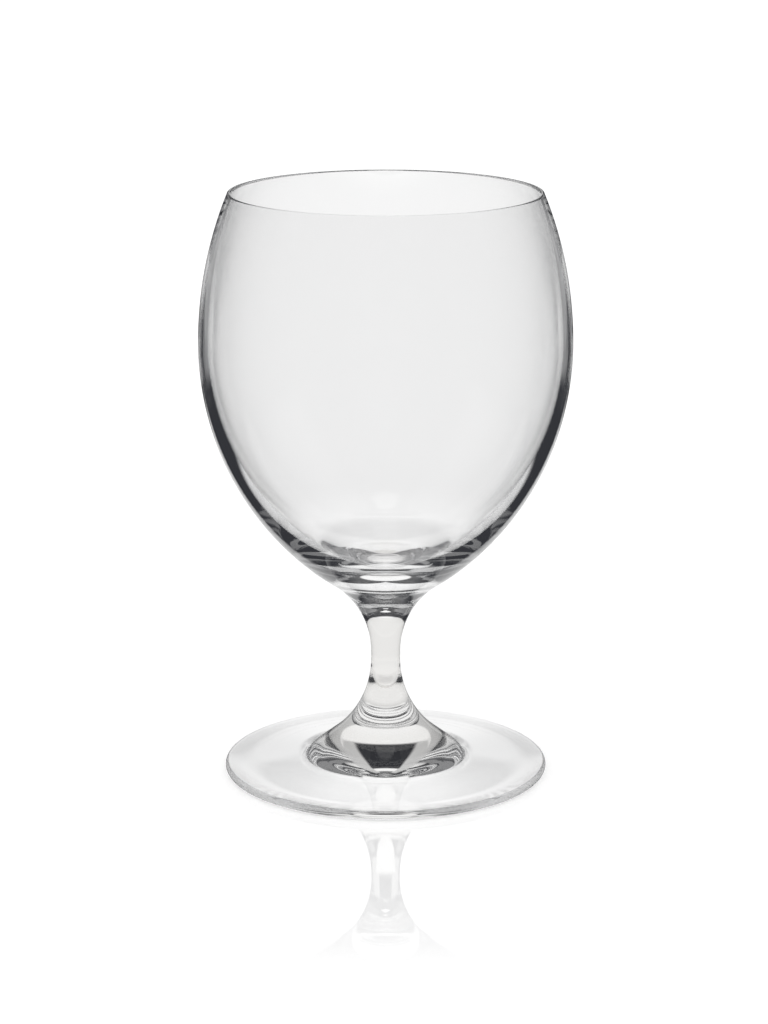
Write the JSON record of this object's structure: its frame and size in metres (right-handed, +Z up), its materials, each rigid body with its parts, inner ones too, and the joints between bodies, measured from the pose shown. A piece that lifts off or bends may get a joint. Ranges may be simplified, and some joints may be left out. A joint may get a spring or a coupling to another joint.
{
  "type": "stemmed beer glass",
  "caption": "Clear stemmed beer goblet: an egg-shaped bowl that narrows to a thin rim, on a short waisted stem that flares into a round flat foot.",
  "frame": {"origin": "centre of the foot, on the table surface", "axes": "+Z up along the axis of revolution, +X to the right and -Y towards the viewer in the picture"},
  "size_m": [0.099, 0.099, 0.158],
  "materials": {
    "bowl_glass": "clear, blown, fire-polished rim",
    "stem_glass": "clear, drawn",
    "foot_glass": "clear, pressed and fire-polished"
  },
  "bodies": {
    "root": {"bowl": "bowl_glass", "stem": "stem_glass", "foot": "foot_glass"}
  },
  "joints": []
}
